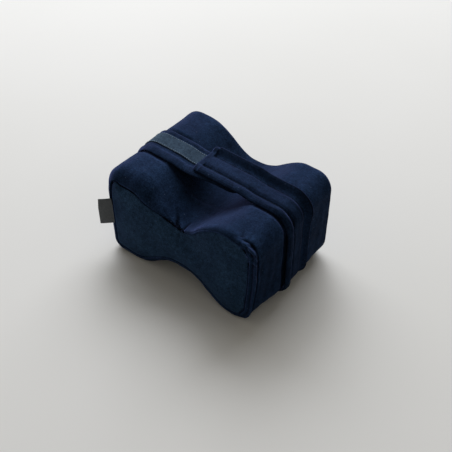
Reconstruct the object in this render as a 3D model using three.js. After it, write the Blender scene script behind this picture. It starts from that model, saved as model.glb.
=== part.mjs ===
// A contoured knee pillow: a filled body with an hourglass side view, a cloth panel on each side,
// a strap that goes once round it and closes over the top hollow, and a bare tab in a side seam.
// Millimetres, +Z up. X is along the hourglass, the front panel faces -Y, the feet rest on z = 0.
import * as THREE from "three";

const { lerp, smoothstep, smootherstep, degToRad } = THREE.MathUtils;

// The filled body. Its edges are rounded up to the seam angle, where a panel is sewn on.
const BODY = {
  leftFoot: 125.5,
  leftTop: 130.5,
  right: 125.5,
  height: 152,
  depth: 181,
  topHollow: 41,
  bottomHollow: 36,
  crestAt: 90,
  leftFootRadius: 18,
  leftTopRadius: 28,
  rightTopRadius: 25,
  rightFootRadius: 33,
  edgeRadius: 7.5,
  hollowEdgeRadius: 3.5,
  hollowEdgeTo: 20,
  plainEdgeFrom: 70,
  seamAngle: degToRad(72),
  crown: 4,
  bulge: 1.5,
};
const HALF_DEPTH = BODY.depth / 2;
const MID_HEIGHT = BODY.height / 2;
const LEFT_CREST_END = BODY.leftTop - BODY.leftTopRadius;

// The cloth of the front edge rolls over the left lobe, so the seam lies lower there.
const ROLL = { low: 98, high: 136, fade: -56, to: -24, radius: 28, atEnd: 0.4, end: -132, inner: -100 };

// The sewn seam stands up as a ridge.
const RIDGE = { height: 1.0, width: 3.2 };

// Down the right edge of the front, which is rounder, the cloth is turned to a sharp fold.
const FOLD = { height: 3.2, radius: 13, from: 92, full: 114, foot: 1, footFull: 12 };

// A tuck pulls the front edge in at the bottom of the top hollow, where the front is also drawn in.
const TUCK = { x: -3, halfWidth: 15, depth: 3, full: -HALF_DEPTH, end: -52 };
const DRAWN_IN = { depth: 5, halfLength: 60, from: 66, full: 100 };

// Right of the tuck the front of the right lobe stands higher, up to its seam.
const LOBE = { from: 4, highest: 42, to: 102, rise: 10, full: -80, end: -34 };

// The front part of the left end and of the right foot leans over to the left.
const LEAN = { shift: 4, from: 60, full: 112, low: 24, high: 90, middle: -31, front: -78 };

const PANEL = { thickness: 2, gap: 0.6, rimGap: 0.8 };

// The strap is a doubled strip, topstitched round a long inner rectangle. It drifts sideways on its
// way round, so that its end lies tucked under the flap, whose far border curls up. Down the right
// end its near border stands off the body.
const STRAP = {
  halfWidth: 27.5,
  inside: 1.9,
  gap: 0.7,
  beside: 0.6,
  shoulder: 6.5,
  crestDent: 2.4,
  footClear: 0.05,
  footFrom: 1,
  footTo: 14,
  leftMiddle: -1,
  rightMiddle: 5,
  driftTo: 60,
  tuckedFrom: -36,
  tuckedTo: 10,
  curl: 4.5,
  curlFrom: 12,
  curlStart: 95,
  curlFull: 150,
  loose: 4,
  looseFrom: 4,
  looseFull: 30,
  looseFade: 112,
  looseTo: 150,
  flapEnd: -34,
  underEnd: 34,
  rise: 3,
  sink: 3,
  chordEnd: 66,
  chordFull: 42,
  stitchedTo: 300,
  step: 14,
  bendStep: 6.5,
  bendLimit: 0.01,
};

// The outer face of the strap, from its middle to its edge: height of a plain border, and where stitched.
const STRAP_SECTION = [
  { out: 0, plain: 2.0, stitched: 1.6 },
  { out: 6, plain: 2.0, stitched: 1.7 },
  { out: 10.4, plain: 2.0, stitched: 1.6 },
  { out: 11.8, plain: 2.0, stitched: 0.8 },
  { out: 13.4, plain: 2.0, stitched: 1.9 },
  { out: 18, plain: 2.1, stitched: 2.4 },
  { out: 23.5, plain: 2.5, stitched: 2.5 },
  { out: 26.4, plain: 1.7, stitched: 1.8 },
];
const STRAP_EDGE = [
  { out: 27.5, height: 0.2 },
  { out: 26.6, height: -1.3 },
  { out: 24.6, height: -1.9 },
  { out: 11, height: -1.9 },
];
const BEAD = 2.5;

// The end of the flap: its width, and how far it is stitched, by distance from its tip.
const FLAP_TIP = [
  { along: 0, halfWidth: 23, stitched: 0 },
  { along: 1.8, halfWidth: 25.8, stitched: 0 },
  { along: 5, halfWidth: 27.5, stitched: 0 },
  { along: 9, halfWidth: 27.5, stitched: 0 },
  { along: 10.4, halfWidth: 27.5, stitched: 1 },
];

// The grey-blue fastening tape, sewn on the strap's outer face under and beside the flap.
const TAPE = { halfWidth: 12.2, aside: 3.5, thickness: 1.2, gap: 0.5, end: 28, length: 200, edge: 0.3 };

// The tab is sewn into the seam at the left end of the front, and hangs a little.
const TAB = {
  out: 19,
  thickness: 1.3,
  top: 95,
  bottom: 50,
  turn: degToRad(43),
  droop: 1.5,
  bend: 1.6,
  gap: 0.5,
  steps: 5,
};

// Depths of the rings between the two rounded edges, beside the strap's edges.
const PLAIN_RING = 56;
const BESIDE_STRAP = { far: 7, near: 1, inside: 5 };

const AROUND = 84;
const FACE_STEPS = [0.07, 0.24, 0.48, 0.76];
const SPINE_SHARE = 0.6;
const EDGE_STEPS = 4;
const HOLLOW_STEPS = 12;

const velour = new THREE.MeshStandardMaterial({ color: 0x10183a, roughness: 0.95 });
const panelVelour = new THREE.MeshStandardMaterial({ color: 0x131f3c, roughness: 0.95 });
const strapVelour = new THREE.MeshStandardMaterial({ color: 0x0e1634, roughness: 0.93 });
const tapeLoops = new THREE.MeshStandardMaterial({ color: 0x3f587a, roughness: 0.9 });
const tabRibbon = new THREE.MeshStandardMaterial({ color: 0x2a2c33, roughness: 0.7 });

// How far the side view lies inside its hull.
function hollowDepth(x, z) {
  const deepest = z < MID_HEIGHT ? BODY.bottomHollow : BODY.topHollow;
  return deepest * (1 - smootherstep(Math.abs(x), 0, BODY.crestAt));
}

// The side view, clockwise from the middle of the left end: the body's own, or its hull.
function sideView(hollow) {
  const { leftFootRadius, leftTopRadius, rightTopRadius, rightFootRadius } = BODY;
  const left = -(BODY.leftFoot + BODY.leftTop) / 2;
  const path = new THREE.Path();
  path.moveTo(left, MID_HEIGHT);
  path.lineTo(-BODY.leftTop, BODY.height - leftTopRadius);
  path.absarc(-LEFT_CREST_END, BODY.height - leftTopRadius, leftTopRadius, Math.PI, Math.PI / 2, true);
  crossHollow(path, hollow, BODY.height, 1);
  path.absarc(BODY.right - rightTopRadius, BODY.height - rightTopRadius, rightTopRadius, Math.PI / 2, 0, true);
  path.absarc(BODY.right - rightFootRadius, rightFootRadius, rightFootRadius, 0, -Math.PI / 2, true);
  crossHollow(path, hollow, 0, -1);
  path.absarc(leftFootRadius - BODY.leftFoot, leftFootRadius, leftFootRadius, -Math.PI / 2, -Math.PI, true);
  path.lineTo(left, MID_HEIGHT);
  return path;
}

// Adds the way over one hollow: the top one to the right (way 1), the bottom one to the left (way -1).
function crossHollow(path, hollow, height, way) {
  path.lineTo(-way * BODY.crestAt, height);
  if (!hollow) {
    path.lineTo(way * BODY.crestAt, height);
    return;
  }
  const points = [];
  for (let step = 1; step <= HOLLOW_STEPS; step++) {
    const x = way * lerp(-BODY.crestAt, BODY.crestAt, step / HOLLOW_STEPS);
    points.push(new THREE.Vector2(x, height - way * hollowDepth(x, height)));
  }
  path.splineThru(points);
}

// A place on a side view at a share of its length, with its outward normal.
function placeOn(path, share) {
  const point = path.getPoint(share);
  const along = path.getTangent(share);
  return { x: point.x, z: point.y, nx: -along.y, nz: along.x };
}

const HULL = sideView(false);
const HULL_LENGTH = HULL.getLength();
const LEFT_RISE = Math.hypot((BODY.leftTop - BODY.leftFoot) / 2, MID_HEIGHT - BODY.leftTopRadius);
const TO_LEFT_CREST = LEFT_RISE + (BODY.leftTopRadius * Math.PI) / 2;
const OUTLINE = bodyOutline(AROUND);

function bodyOutline(count) {
  const path = sideView(true);
  return Array.from({ length: count }, (_, i) => placeOn(path, i / count));
}

// How deep the strap sits below the hull at a height: deepest under the feet, so it clears the floor.
function strapDepth(z) {
  const footDepth = STRAP.footClear + BEAD + STRAP.inside + STRAP.gap;
  return lerp(footDepth, STRAP.crestDent, smoothstep(z, STRAP.footFrom, STRAP.footTo));
}

// Where the strap's middle runs over the body at a place of the side view.
function strapMiddle(x) {
  return lerp(STRAP.leftMiddle, STRAP.rightMiddle, smoothstep(x, -STRAP.driftTo, STRAP.driftTo));
}

// 1 under the strap and 0 beside it.
function underStrap(x, y) {
  const beside = Math.abs(y - strapMiddle(x));
  return 1 - smoothstep(beside, STRAP.halfWidth + STRAP.beside, STRAP.halfWidth + STRAP.shoulder);
}

function tuckIn(x, y, z) {
  if (z < MID_HEIGHT) return 0;
  const share = 1 - smoothstep(Math.abs(x - TUCK.x), 0, TUCK.halfWidth);
  return TUCK.depth * share * (1 - smoothstep(y, TUCK.full, TUCK.end));
}

function lobeRise(x, y, z) {
  if (z < MID_HEIGHT) return 0;
  const share = smoothstep(x, LOBE.from, LOBE.highest) * (1 - smoothstep(x, LOBE.highest, LOBE.to));
  return LOBE.rise * share * (1 - smoothstep(y, LOBE.full, LOBE.end));
}

function leanOver(x, y, z) {
  const leaning = x > 0 ? 1 - smoothstep(z, LEAN.low, LEAN.high) : 1;
  const outside = smoothstep(Math.abs(x), LEAN.from, LEAN.full);
  return LEAN.shift * leaning * outside * (1 - smoothstep(y, LEAN.front, LEAN.middle));
}

function drawnIn(x, z, side) {
  if (side > 0) return 0;
  const share = 1 - smoothstep(Math.abs(x), 0, DRAWN_IN.halfLength);
  return DRAWN_IN.depth * share * smoothstep(z, DRAWN_IN.from, DRAWN_IN.full);
}

// Radius of the rounded edge between the side view's outline and a panel: tighter in the top hollow,
// wide where the cloth of the front rolls over, and wider beside the fold.
function edgeRadius(x, z, side) {
  const past = z < MID_HEIGHT ? 1 : smoothstep(Math.abs(x), BODY.hollowEdgeTo, BODY.plainEdgeFrom);
  const plain = lerp(BODY.hollowEdgeRadius, BODY.edgeRadius, past);
  if (side > 0) return plain;
  const along = lerp(ROLL.atEnd, 1, smoothstep(x, ROLL.end, ROLL.inner));
  const roll = along * smoothstep(z, ROLL.low, ROLL.high) * (1 - smoothstep(x, ROLL.fade, ROLL.to));
  return lerp(lerp(plain, ROLL.radius, roll), FOLD.radius, foldShare(x, z));
}

function foldShare(x, z) {
  return smoothstep(x, FOLD.from, FOLD.full) * smoothstep(z, FOLD.foot, FOLD.footFull);
}

// A point inside the outline by inset, at depth y before the waist is drawn in. Feet stay flat.
function bodyPoint(p, y, inset, waistShare) {
  const under = underStrap(p.x, y);
  const dent = under * Math.max(0, strapDepth(p.z) - hollowDepth(p.x, p.z));
  const bulge = (1 - under) * BODY.bulge * Math.max(0, 1 - (y / HALF_DEPTH) ** 2);
  const move = inset + dent + tuckIn(p.x, y, p.z) - lobeRise(p.x, y, p.z) - bulge;
  const depth = y - Math.sign(y) * drawnIn(p.x, p.z, y) * waistShare;
  const x = p.x - p.nx * move - leanOver(p.x, y, p.z);
  return new THREE.Vector3(x, depth, Math.max(0, p.z - p.nz * move));
}

// A ring straight round the body at depth y.
function boxingRing(y) {
  return OUTLINE.map((p) => bodyPoint(p, y, 0, (y / HALF_DEPTH) ** 2));
}

// A ring on the rounded edge: at an angle of its arc, further in, raised as a ridge or fold, or sunk.
function edgeRing(side, angle, { further = 0, ridge = 0, fold = 0, sunk = 0 } = {}) {
  return OUTLINE.map((p) => {
    const radius = edgeRadius(p.x, p.z, side);
    const lift = ridge * RIDGE.height + fold * FOLD.height * foldShare(p.x, p.z);
    const y = HALF_DEPTH - radius * (1 - Math.sin(angle)) + lift * Math.sin(angle) - sunk;
    const inset = radius * (1 - Math.cos(angle)) + further - lift * Math.cos(angle);
    const waistShare = ((HALF_DEPTH - radius * (1 - Math.sin(angle))) / HALF_DEPTH) ** 2;
    return bodyPoint(p, side * y, inset, waistShare);
  });
}

// Rings of a crowned face inside its rim, drawn towards a spine along the middle height.
function faceRings(rim, side) {
  return FACE_STEPS.map((step) => rim.map((p) => crownPoint(p, side, step)));
}

function crownPoint(p, side, step) {
  const x = lerp(p.x, p.x * SPINE_SHARE, step);
  const z = lerp(p.z, MID_HEIGHT, step);
  const crown = BODY.crown * (1 - (1 - step) ** 2);
  const fuller = crown + drawnIn(p.x, p.z, side) - drawnIn(x, z, side);
  return new THREE.Vector3(x, p.y + side * fuller, z);
}

// Rings of one side of the body, from the widest place of its edge to the middle of its sunk face.
function sideRings(side) {
  const rings = [];
  for (let step = 0; step <= EDGE_STEPS; step++) {
    const fold = side < 0 && step === EDGE_STEPS / 2 ? 1 : 0;
    rings.push(edgeRing(side, (BODY.seamAngle * step) / EDGE_STEPS, { fold }));
  }
  rings.push(edgeRing(side, BODY.seamAngle, { further: RIDGE.width / 2, ridge: 1 }));
  rings.push(edgeRing(side, BODY.seamAngle, { further: RIDGE.width }));
  rings.push(sunkRing(side, RIDGE.width));
  const seat = sunkRing(side, RIDGE.width + PANEL.rimGap);
  return [...rings, seat, ...faceRings(seat, side)];
}

// A ring of the body's face, sunk so that the panel lies flush inside the ridge.
function sunkRing(side, further) {
  return edgeRing(side, BODY.seamAngle, { further, sunk: PANEL.thickness + PANEL.gap });
}

// A closed surface through rings of equal length, with the triangles that cap its first and last ring.
// Each quad is split so that it bows outward, which keeps two surfaces a constant gap apart.
function skin(name, rings, material, firstCap, lastCap) {
  const around = rings[0].length;
  const points = rings.flat();
  const index = [];
  for (let start = 0; start + around < points.length; start += around) {
    for (let i = 0; i < around; i++) {
      const [a, b] = [start + i, start + ((i + 1) % around)];
      const [c, d] = [a + around, b + around];
      const fuller = Math.abs(points[a].y + points[d].y) > Math.abs(points[b].y + points[c].y);
      index.push(...(fuller ? [a, b, d, a, d, c] : [a, b, c, b, d, c]));
    }
  }
  const last = points.length - around;
  for (const [a, b, c] of firstCap) index.push(a, b, c);
  for (const [a, b, c] of lastCap) index.push(last + a, last + c, last + b);
  const positions = points.flatMap((p) => [p.x, p.y, p.z]);
  const geometry = new THREE.BufferGeometry();
  geometry.setAttribute("position", new THREE.Float32BufferAttribute(positions, 3));
  geometry.setIndex(index);
  geometry.computeVertexNormals();
  const mesh = new THREE.Mesh(geometry, material);
  mesh.name = name;
  return mesh;
}

// Closes a side's last ring with rungs between its upper and lower half.
function ladder(around) {
  const faces = [[1, 0, around - 1]];
  for (let k = 1; k + 1 < around / 2; k++) {
    faces.push([k + 1, k, around - k], [k + 1, around - k, around - k - 1]);
  }
  return [...faces, [around / 2, around / 2 - 1, around / 2 + 1]];
}

// Closes a flat section.
function flatFaces(section) {
  return THREE.ShapeUtils.triangulateShape(section.map((pair) => new THREE.Vector2(...pair)), []);
}

// A section made of its middle point and one half, mirrored.
function mirroredSection(middle, half) {
  return [middle, ...half, ...half.map(([out, height]) => [-out, height]).reverse()];
}

// The filled body: both sides, joined by the boxing, which is pressed in where the strap runs.
function cushionBody() {
  const low = Math.min(STRAP.leftMiddle, STRAP.rightMiddle) - STRAP.halfWidth;
  const high = Math.max(STRAP.leftMiddle, STRAP.rightMiddle) + STRAP.halfWidth;
  const { far, near, inside } = BESIDE_STRAP;
  const front = [-PLAIN_RING, low - far, low - near, low + inside];
  const back = [high - inside, high + near, high + far, PLAIN_RING];
  const depths = [...front, (low + high) / 2, ...back];
  const boxing = depths.map(boxingRing);
  const rings = [...sideRings(-1).reverse(), ...boxing, ...sideRings(1)];
  return skin("cushion_body", rings, velour, ladder(AROUND), ladder(AROUND));
}

// A side panel: a sheet of cloth that lies in the sunk face, up to the ridge of its seam.
function sidePanel(name, side) {
  const seat = sunkRing(side, RIDGE.width + PANEL.rimGap);
  const face = [seat, ...faceRings(seat, side)];
  const raised = (height) => face.map((ring) => ring.map((p) => p.clone().setY(p.y + side * height)));
  const rings = [...raised(PANEL.gap + PANEL.thickness).reverse(), ...raised(PANEL.gap)];
  if (side > 0) rings.reverse();
  return skin(name, rings, panelVelour, ladder(AROUND), ladder(AROUND));
}

// A place on the strap's middle surface, by distance from the tip of its flap.
function strapPlace(along) {
  const start = TO_LEFT_CREST + LEFT_CREST_END + STRAP.flapEnd;
  const place = placeOn(HULL, ((start + along) / HULL_LENGTH) % 1);
  const onTop = place.z > MID_HEIGHT;
  const flap = along < HULL_LENGTH / 2;
  let lift = STRAP.gap + STRAP.inside - strapDepth(place.z);
  if (onTop && flap) lift += STRAP.rise * (1 - smoothstep(place.x, STRAP.chordFull, STRAP.chordEnd));
  if (onTop && !flap) lift -= STRAP.sink * smoothstep(place.x, -STRAP.chordEnd, -STRAP.chordFull);
  const tucked = flap ? 1 : smoothstep(place.x, STRAP.tuckedFrom, STRAP.tuckedTo);
  const middle = onTop ? lerp(STRAP.leftMiddle, STRAP.rightMiddle, tucked) : strapMiddle(place.x);
  const curl = flap ? STRAP.curl * smoothstep(place.z, STRAP.curlStart, STRAP.curlFull) : 0;
  const free = 1 - smoothstep(place.z, STRAP.looseFade, STRAP.looseTo);
  const loose = place.x > 0 ? STRAP.loose * free * smoothstep(place.z, STRAP.looseFrom, STRAP.looseFull) : 0;
  return { ...place, along, lift, middle, curl, loose };
}

function strapPoint(place, out, height) {
  const curl = place.curl * smoothstep(out, STRAP.curlFrom, STRAP.halfWidth);
  const raised = place.lift + height + curl + place.loose * (1 - smoothstep(out, -STRAP.halfWidth, 0));
  return new THREE.Vector3(place.x + place.nx * raised, place.middle + out, place.z + place.nz * raised);
}

// The strap's section as pairs of distance out and height, once round.
function strapSection(halfWidth, stitched) {
  const wide = halfWidth / STRAP.halfWidth;
  const face = STRAP_SECTION.map((row) => [row.out * wide, lerp(row.plain, row.stitched, stitched)]);
  const edge = STRAP_EDGE.map((row) => [row.out * wide, row.height]);
  return mirroredSection(face[0], [...face.slice(1), ...edge]);
}

// Places along the strap behind its stitched flap end, closer together round the body's corners.
function strapPlaces() {
  const end = HULL_LENGTH + STRAP.underEnd - STRAP.flapEnd;
  const places = [];
  let along = FLAP_TIP.at(-1).along;
  while (along < end - STRAP.bendStep) {
    const bends = [along, along + STRAP.step].some((at) => {
      const place = strapPlace(at);
      return Math.abs(place.nx * place.nz) > STRAP.bendLimit;
    });
    along += bends ? STRAP.bendStep : STRAP.step;
    places.push(strapPlace(Math.min(along, end)));
  }
  return places;
}

// The whole strap, from its hidden end under the flap round to the flap's tip.
function strap(places) {
  const flap = FLAP_TIP.map((row) => ({ ...strapPlace(row.along), ...row }));
  const band = places.map((place) => {
    const stitched = 1 - smoothstep(place.along, STRAP.stitchedTo, STRAP.stitchedTo + STRAP.step);
    return { ...place, halfWidth: STRAP.halfWidth, stitched };
  });
  const stations = [...flap, ...band].reverse();
  const sections = stations.map((row) => strapSection(row.halfWidth, row.stitched));
  const rings = stations.map((row, i) => sections[i].map(([out, height]) => strapPoint(row, out, height)));
  return skin("strap", rings, strapVelour, flatFaces(sections[0]), flatFaces(sections.at(-1)));
}

// The tape follows the strap's outer face, from its end under the flap to the left end of the body.
function fasteningTape(places) {
  const face = STRAP_SECTION[0].plain + TAPE.gap;
  const section = mirroredSection(
    [0, face + TAPE.thickness],
    [
      [TAPE.halfWidth - TAPE.edge, face + TAPE.thickness],
      [TAPE.halfWidth, face + TAPE.thickness / 2],
      [TAPE.halfWidth - TAPE.edge, face],
    ],
  );
  const end = HULL_LENGTH + TAPE.end - STRAP.flapEnd;
  const covered = places.filter((place) => place.along > end - TAPE.length && place.along < end).reverse();
  const rings = covered.map((place) =>
    section.map(([out, height]) => strapPoint(place, out + TAPE.aside, height)),
  );
  return skin("fastening_tape", rings, tapeLoops, flatFaces(section), flatFaces(section));
}

// The tab stands out of the seam ridge, turned between the end and the front, with a slight bend.
function sideTab() {
  const ridge = edgeRing(-1, BODY.seamAngle, { further: RIDGE.width / 2, ridge: 1 })
    .filter((p) => p.x < 0 && p.z > TAB.bottom && p.z < TAB.top)
    .sort((p, q) => p.z - q.z);
  const [low, high] = [ridge[0], ridge.at(-1)];
  const rootAt = (z) => new THREE.Vector3().lerpVectors(low, high, (z - low.z) / (high.z - low.z));
  const away = new THREE.Vector3(-Math.cos(TAB.turn), -Math.sin(TAB.turn), 0);
  const across = new THREE.Vector3(away.y, -away.x, 0);
  const half = TAB.thickness / 2;
  const section = [
    [-half, TAB.bottom],
    [-half, TAB.top],
    [half, TAB.top],
    [half, TAB.bottom],
  ];
  const rings = [];
  for (let i = 0; i <= TAB.steps; i++) {
    const share = i / TAB.steps;
    const out = TAB.gap + TAB.out * share;
    rings.push(
      section.map(([side, z]) =>
        rootAt(z)
          .addScaledVector(away, out)
          .addScaledVector(across, TAB.bend * share * share + side)
          .setZ(z - TAB.droop * share),
      ),
    );
  }
  return skin("side_tab", rings, tabRibbon, flatFaces(section), flatFaces(section));
}

const places = strapPlaces();
const pillow = new THREE.Group();
pillow.add(cushionBody());
pillow.add(sidePanel("front_panel", -1));
pillow.add(sidePanel("back_panel", 1));
pillow.add(strap(places));
pillow.add(fasteningTape(places));
pillow.add(sideTab());

// The origin is at the bottom centre of the whole pillow.
const bounds = new THREE.Box3().setFromObject(pillow);
const centre = bounds.getCenter(new THREE.Vector3());
for (const mesh of pillow.children) mesh.position.set(-centre.x, -centre.y, -bounds.min.z);

export default pillow;
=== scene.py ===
"""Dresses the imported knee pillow: a velour cushion, side panels, a strap with tape and a bare tab.

Shapes are worked out in millimetres in the body's own frame, where x and y are 0 at the body's
middle and z is 0 at the floor, and then placed in the row's frame in metres.
"""

import math

import bpy
import numpy as np
from mathutils import Matrix, Vector, kdtree, noise


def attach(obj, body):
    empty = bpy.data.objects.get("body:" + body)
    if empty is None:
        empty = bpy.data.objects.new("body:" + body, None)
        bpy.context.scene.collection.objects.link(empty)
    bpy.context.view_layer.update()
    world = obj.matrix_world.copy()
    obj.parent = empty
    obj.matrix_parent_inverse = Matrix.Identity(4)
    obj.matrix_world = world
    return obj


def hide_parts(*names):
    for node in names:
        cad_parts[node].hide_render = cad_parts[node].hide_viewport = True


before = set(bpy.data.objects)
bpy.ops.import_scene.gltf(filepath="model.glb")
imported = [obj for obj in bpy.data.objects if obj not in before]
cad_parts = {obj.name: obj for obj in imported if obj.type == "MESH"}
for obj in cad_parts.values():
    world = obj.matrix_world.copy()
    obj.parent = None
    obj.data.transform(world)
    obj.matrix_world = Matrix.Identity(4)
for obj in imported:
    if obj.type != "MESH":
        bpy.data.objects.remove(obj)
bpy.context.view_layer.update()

MM = 0.001
BODY_MIDDLE = np.array([5.139, 4.795, 0.0])

# The body's side view and depth, as in the part.
LEFT_FOOT, LEFT_TOP, RIGHT = 125.5, 130.5, 125.5
HEIGHT, HALF_DEPTH = 152, 90.5
MID_HEIGHT = HEIGHT / 2
TOP_HOLLOW, BOTTOM_HOLLOW, CREST_AT = 41, 36, 90
LEFT_FOOT_RADIUS, LEFT_TOP_RADIUS, RIGHT_TOP_RADIUS, RIGHT_FOOT_RADIUS = 18, 28, 25, 33
LEFT_CREST_END = LEFT_TOP - LEFT_TOP_RADIUS
SEAM_ANGLE = math.radians(72)
EDGE_RADIUS, HOLLOW_EDGE_RADIUS, HOLLOW_EDGE_TO, EDGE_FROM = 7.5, 3.5, 20, 70
BULGE = 1.5
SPINE_SHARE = 0.6

# The front part of the left end and of the right foot leans to the left.
LEAN, LEAN_FROM, LEAN_FULL = 4, 60, 112
LEAN_LOW, LEAN_HIGH, LEAN_FRONT, LEAN_MIDDLE = 24, 90, -78, -31

# The rolled edge of the front's left crest.
ROLL_RADIUS, ROLL_AT_END, ROLL_END, ROLL_INNER = 28, 0.4, -132, -100
ROLL_LOW, ROLL_HIGH, ROLL_FADE, ROLL_TO = 98, 136, -56, -24

# The tuck at the middle of the front, its drawn-in waist, and its higher right lobe.
TUCK_X, TUCK_HALF_WIDTH, TUCK_DEPTH, TUCK_END = -3, 15, 3, -52
WAIST_DRAWN_IN, WAIST_HALF_LENGTH, WAIST_FROM, WAIST_FULL = 5, 60, 66, 100
LOBE_FROM, LOBE_HIGHEST, LOBE_TO, LOBE_RISE, LOBE_FULL, LOBE_END = 4, 42, 102, 10, -80, -34

# The sewn ridge round the panels, which sinks into a groove on the left of the front's top.
RIDGE_LOW, RIDGE_SHOWN, RIDGE_WIDTH, GROOVE = 0.35, 0.7, 3.2, 1.4
GROOVE_TO, RIDGE_FROM, RIDGE_TOP = -16, 30, MID_HEIGHT + 20

# The turned edge that stands up as a fold along the front's right corner.
FOLD_RADIUS, FOLD_FROM, FOLD_FULL, FOLD_LOW, FOLD_HIGH = 13, 92, 114, 1, 12
FOLD_HEIGHT, FOLD_ANGLE, FOLD_HALF_WIDTH = 4.6, math.radians(40), math.radians(8)
FOLD_GROOVE, FOLD_GROOVE_ANGLE, FOLD_GROOVE_HALF_WIDTH = 2.0, math.radians(18), math.radians(9)

PANEL_THICKNESS, PANEL_GAP, PANEL_RIM_GAP = 2.0, 0.6, 0.8
PANEL_CROWN, PANEL_CROWN_WIDTH, PANEL_SWELL, PANEL_SWELL_WIDTH = 1.6, 20, 2.2, 60
PANEL_TURN, PANEL_TURN_WIDTH, PANEL_STEP_WIDTH, PANEL_SINK = 0.9, 1.6, 12, 0.5

# The strap and its tape, as in the part.
STRAP_HALF_WIDTH, STRAP_INSIDE, STRAP_GAP, STRAP_BESIDE, STRAP_SHOULDER = 27.5, 1.9, 0.7, 0.6, 6.5
STRAP_CREST_DENT, STRAP_FOOT_DENT, FOOT_FROM, FOOT_TO = 2.4, 5.15, 1, 14
STRAP_LEFT_MIDDLE, STRAP_RIGHT_MIDDLE, DRIFT_TO = -1, 5, 60
TUCKED_FROM, TUCKED_TO = -36, 10
STRAP_CURL, CURL_FROM, CURL_START, CURL_FULL = 4.5, 15, 95, 150
STRAP_LOOSE, LOOSE_FROM, LOOSE_FULL, LOOSE_FADE, LOOSE_TO = 4, 4, 30, 112, 150
STRAP_RISE, STRAP_SINK, RISE_FULL, RISE_END = 3, 3, 42, 66
FLAP_END, UNDER_END, STITCHED_FROM, STITCHED_TO = -34, 42, 10.4, 300
STRAP_FACE_HEIGHT = 2.0
TAPE_HALF_WIDTH, TAPE_ASIDE, TAPE_THICKNESS, TAPE_END, TAPE_LENGTH = 12.2, 3.5, 1.2, 28, 200
TAPE_GAP, TAPE_EDGE = 0.5, 0.3

# How finely the lines and rings are cut.
ARC_POINTS, HOLLOW_POINTS = 40, 181
SAME_PLACE, NORMAL_REACH = 1e-6, 1.5
AROUND = 540


def smooth(value, low, high):
    share = np.clip((value - low) / (high - low), 0, 1)
    return share * share * (3 - 2 * share)


def smoother(value, low, high):
    share = np.clip((value - low) / (high - low), 0, 1)
    return share**3 * (share * (6 * share - 15) + 10)


def mix(a, b, share):
    return a + (b - a) * share


def bump(value, middle, half_width):
    """1 at the middle, falling smoothly to 0 at the half width on both sides."""
    return 1 - smooth(np.abs(value - middle), 0, half_width)


# The body's outline.


def hollow_depth(x, z):
    deepest = np.where(z < MID_HEIGHT, BOTTOM_HOLLOW, TOP_HOLLOW)
    return deepest * (1 - smoother(np.abs(x), 0, CREST_AT))


def arc(x, z, radius, start, end):
    angles = np.radians(np.linspace(start, end, ARC_POINTS))
    return np.stack([x + radius * np.cos(angles), z + radius * np.sin(angles)], 1)


def side_view(hollow):
    """Points of the side view, clockwise from the left end's middle: of the body, or of its hull."""
    across = np.linspace(-CREST_AT, CREST_AT, HOLLOW_POINTS)
    top_dip, bottom_dip = (hollow_depth(across, z) * hollow for z in (HEIGHT, 0))
    start = [(-(LEFT_FOOT + LEFT_TOP) / 2, MID_HEIGHT)]
    return np.concatenate(
        [
            start,
            arc(-LEFT_CREST_END, HEIGHT - LEFT_TOP_RADIUS, LEFT_TOP_RADIUS, 180, 90),
            np.stack([across, HEIGHT - top_dip], 1),
            arc(RIGHT - RIGHT_TOP_RADIUS, HEIGHT - RIGHT_TOP_RADIUS, RIGHT_TOP_RADIUS, 90, 0),
            arc(RIGHT - RIGHT_FOOT_RADIUS, RIGHT_FOOT_RADIUS, RIGHT_FOOT_RADIUS, 0, -90),
            np.stack([-across, bottom_dip], 1),
            arc(LEFT_FOOT_RADIUS - LEFT_FOOT, LEFT_FOOT_RADIUS, LEFT_FOOT_RADIUS, -90, -180),
            start,
        ]
    )


class Track:
    """A closed line of points, read by the distance along it."""

    def __init__(self, points):
        keep = np.r_[True, np.linalg.norm(np.diff(points, axis=0), axis=1) > SAME_PLACE]
        self.points = points[keep]
        self.distance = np.r_[0, np.cumsum(np.linalg.norm(np.diff(self.points, axis=0), axis=1))]
        self.length = self.distance[-1]

    def places(self, distance):
        return np.stack([np.interp(distance, self.distance, self.points[:, k]) for k in (0, 1)], 1)

    def at(self, distance):
        """Points as x and z, and outward normals, at distances along the line."""
        wrapped = np.mod(distance, self.length)
        place = self.places(wrapped)
        ahead, behind = (np.mod(wrapped + step, self.length) for step in (NORMAL_REACH, -NORMAL_REACH))
        run = self.places(ahead) - self.places(behind)
        run /= np.linalg.norm(run, axis=1)[:, None]
        return place, np.stack([-run[:, 1], run[:, 0]], 1)


BODY_TRACK = Track(side_view(1))
HULL_TRACK = Track(side_view(0))
AROUND_AT = np.arange(AROUND) * BODY_TRACK.length / AROUND
OUTLINE, OUTWARD = BODY_TRACK.at(AROUND_AT)
X, Z = OUTLINE[:, 0], OUTLINE[:, 1]


# The cushion's own shape.


def strap_dent(z):
    return mix(STRAP_FOOT_DENT, STRAP_CREST_DENT, smooth(z, FOOT_FROM, FOOT_TO))


def strap_middle(x):
    return mix(STRAP_LEFT_MIDDLE, STRAP_RIGHT_MIDDLE, smooth(x, -DRIFT_TO, DRIFT_TO))


def under_strap(y):
    """1 under the strap and 0 beside it, round the outline at depth y."""
    beside = np.abs(y - strap_middle(X))
    return 1 - smooth(beside, STRAP_HALF_WIDTH + STRAP_BESIDE, STRAP_HALF_WIDTH + STRAP_SHOULDER)


def lean_over(y):
    """How far the front part of the left end and of the right foot leans to the left."""
    leaning = np.where(X > 0, 1 - smooth(Z, LEAN_LOW, LEAN_HIGH), 1)
    leaning = leaning * smooth(np.abs(X), LEAN_FROM, LEAN_FULL)
    return LEAN * leaning * (1 - smooth(y, LEAN_FRONT, LEAN_MIDDLE))


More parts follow.
